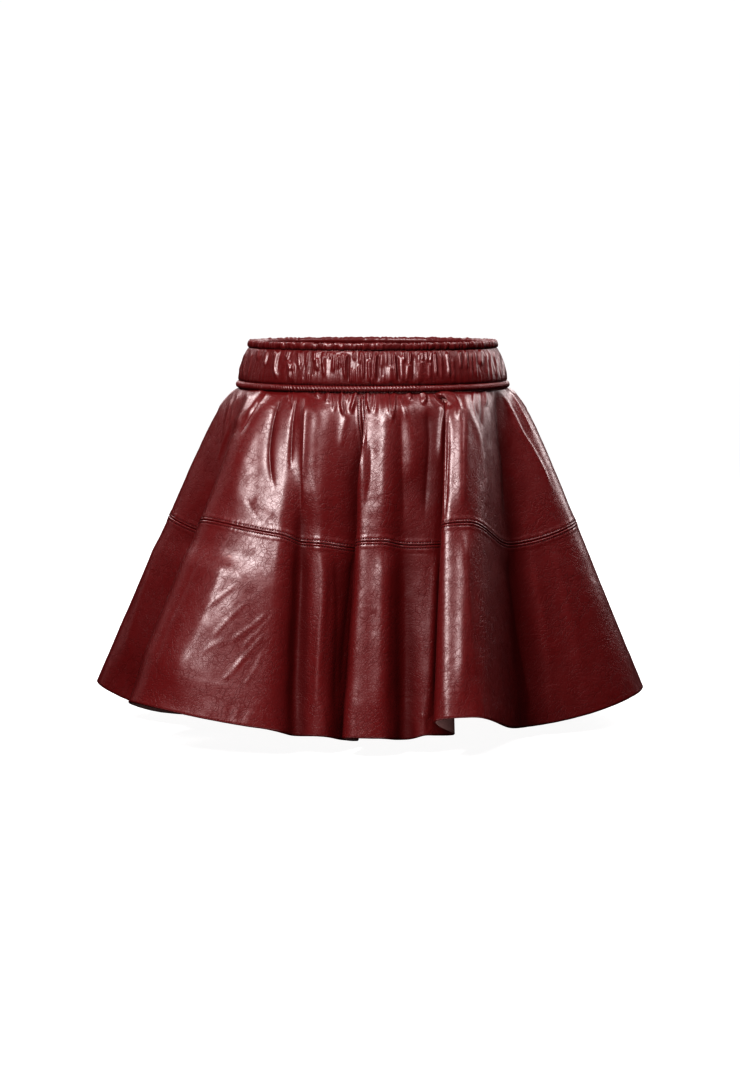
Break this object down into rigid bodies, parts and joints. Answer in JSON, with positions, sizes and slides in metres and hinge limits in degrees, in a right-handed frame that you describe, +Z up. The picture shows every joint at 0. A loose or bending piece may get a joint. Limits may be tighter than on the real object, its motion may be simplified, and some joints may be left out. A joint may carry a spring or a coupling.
{
  "type": "leather skirt",
  "caption": "Short flared leather skirt in two gathered tiers with a ruched elastic waistband, in worn shape with no wearer, open at waist and hem.",
  "frame": {"origin": "centre of the waistband at its mid height, where the wearer's waist holds the skirt up", "axes": "+Z up along the wearer's body, -Y towards the wearer's front, +X towards the wearer's left"},
  "size_m": [0.5632, 0.4846, 0.3808],
  "materials": {
    "waistband_leather": "semi-gloss burgundy leather, ruched over elastic",
    "waist_roll_leather": "semi-gloss burgundy leather, finely puckered along its stitching",
    "tier_leather": "soft semi-gloss burgundy leather with a fine crinkle grain"
  },
  "bodies": {
    "root": {"waistband": "waistband_leather", "waist_roll": "waist_roll_leather", "upper_front_right": "tier_leather", "upper_front_left": "tier_leather", "upper_back_left": "tier_leather", "upper_back_right": "tier_leather", "lower_front_right": "tier_leather", "lower_front_left": "tier_leather", "lower_back_left": "tier_leather", "lower_back_right": "tier_leather"}
  },
  "joints": []
}
